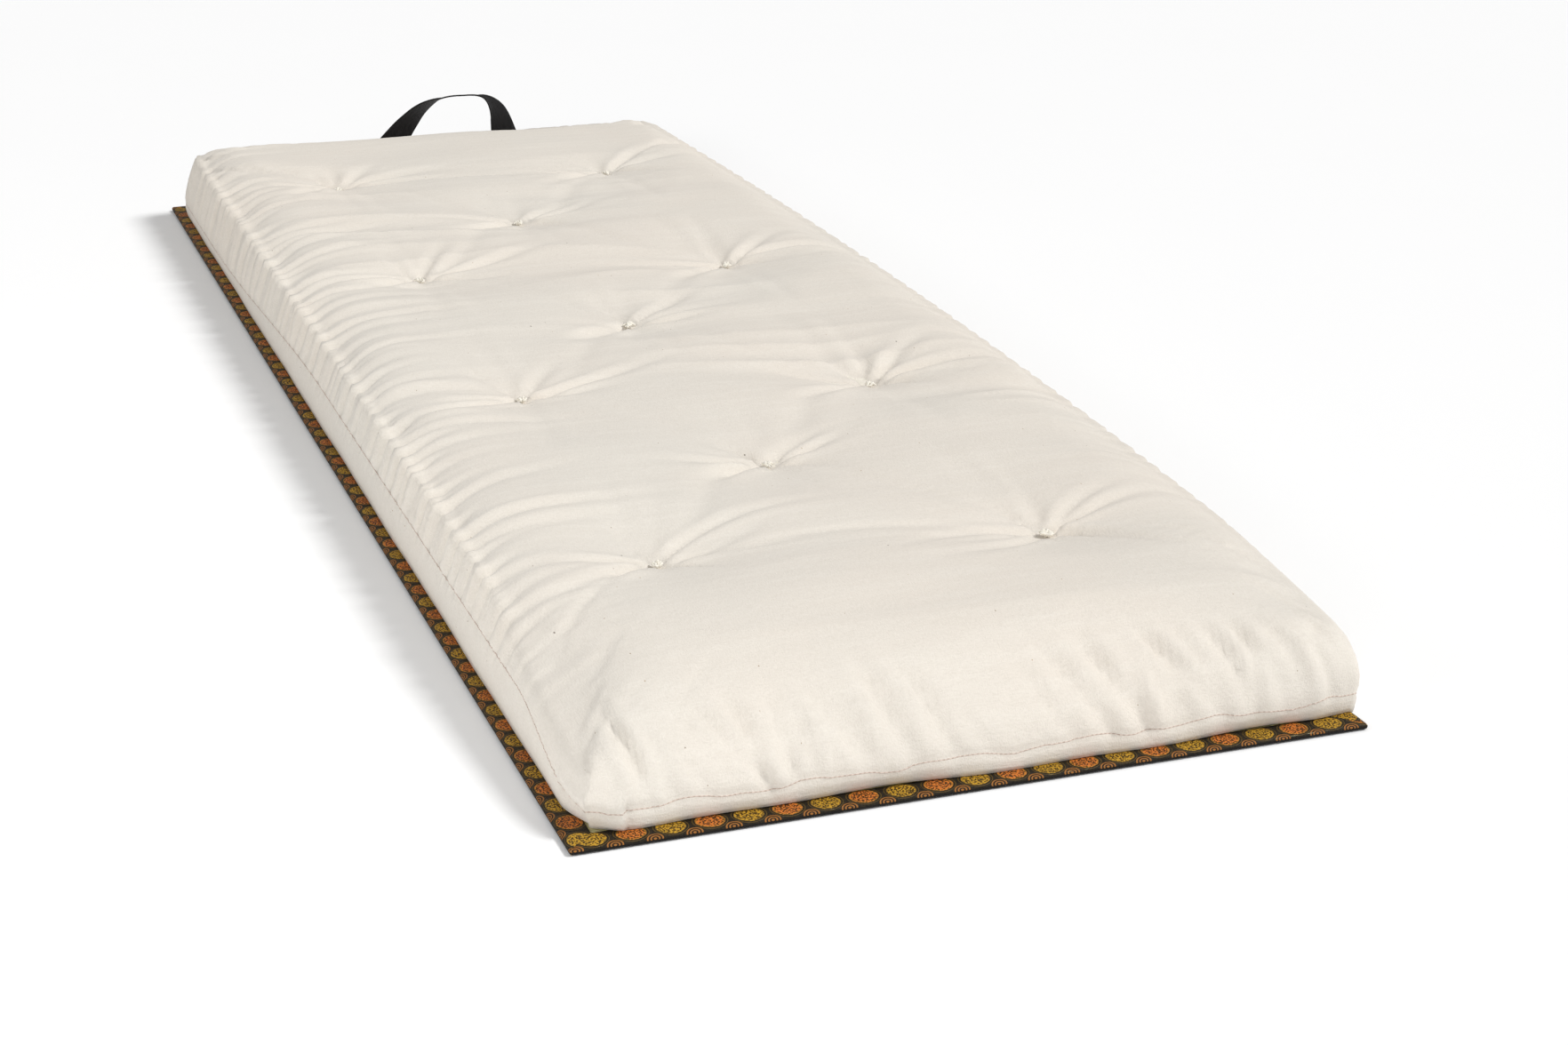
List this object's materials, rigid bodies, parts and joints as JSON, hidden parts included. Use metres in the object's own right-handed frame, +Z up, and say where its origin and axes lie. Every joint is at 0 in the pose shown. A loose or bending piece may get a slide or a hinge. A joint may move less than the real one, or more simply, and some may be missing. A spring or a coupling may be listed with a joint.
{
  "type": "futon mattress",
  "caption": "Tufted cotton futon mattress with a webbing carry handle at one end, lying on a thin rush mat with a patterned woven border.",
  "frame": {"origin": "on the floor, at the middle of the whole outline", "axes": "+X across the width, +Y along the length towards the handle end, +Z up"},
  "size_m": [0.7222, 2.05, 0.1392],
  "materials": {
    "cotton_cover": "undyed twill cotton, matt, with small seed flecks",
    "cotton_seam": "turned-in cotton edge with a fine stitched line",
    "cotton_batting": "loose felted cotton",
    "foam": "open-cell foam",
    "tuft_thread": "twisted cotton thread",
    "webbing": "woven black webbing, slight glint",
    "rush": "woven rush, satin",
    "mat_fibre": "pressed plant fibre",
    "mat_backing_cloth": "plain coarse cloth",
    "brocade_tape": "dark woven tape with gold and rust discs"
  },
  "bodies": {
    "mat": {"rush_facing": "rush", "mat_core": "mat_fibre", "mat_backing": "mat_backing_cloth", "border_near": "brocade_tape", "border_far": "brocade_tape", "border_left": "brocade_tape", "border_right": "brocade_tape"},
    "mattress": {"casing_top": "cotton_cover", "casing_bottom": "cotton_cover", "perimeter_seam": "cotton_seam", "lower_batting_1": "cotton_batting", "lower_batting_2": "cotton_batting", "upper_batting_1": "cotton_batting", "upper_batting_2": "cotton_batting", "foam_core": "foam", "tuft_cord_01": "tuft_thread", "tuft_cord_02": "tuft_thread", "tuft_cord_03": "tuft_thread", "tuft_cord_04": "tuft_thread", "tuft_cord_05": "tuft_thread", "tuft_cord_06": "tuft_thread", "tuft_cord_07": "tuft_thread", "tuft_cord_08": "tuft_thread", "tuft_cord_09": "tuft_thread", "tuft_cord_10": "tuft_thread", "tuft_cord_11": "tuft_thread", "tuft_top_01": "tuft_thread", "tuft_top_02": "tuft_thread", "tuft_top_03": "tuft_thread", "tuft_top_04": "tuft_thread", "tuft_top_05": "tuft_thread", "tuft_top_06": "tuft_thread", "tuft_top_07": "tuft_thread", "tuft_top_08": "tuft_thread", "tuft_top_09": "tuft_thread", "tuft_top_10": "tuft_thread", "tuft_top_11": "tuft_thread", "tuft_bottom_01": "tuft_thread", "tuft_bottom_02": "tuft_thread", "tuft_bottom_03": "tuft_thread", "tuft_bottom_04": "tuft_thread", "tuft_bottom_05": "tuft_thread", "tuft_bottom_06": "tuft_thread", "tuft_bottom_07": "tuft_thread", "tuft_bottom_08": "tuft_thread", "tuft_bottom_09": "tuft_thread", "tuft_bottom_10": "tuft_thread", "tuft_bottom_11": "tuft_thread", "handle_tab_left": "webbing", "handle_tab_right": "webbing"},
    "handle": {"handle_loop": "webbing"}
  },
  "joints": [
    {"name": "mattress_lift", "type": "slide", "parent": "mat", "child": "mattress", "axis": [0, 0, 1], "range_m": [0, 0.3]},
    {"name": "handle_swing", "type": "hinge", "parent": "mattress", "child": "handle", "pos_m": [0, 0.992, 0.0765], "axis": [1, 0, 0], "range_deg": [-130, 40]}
  ]
}
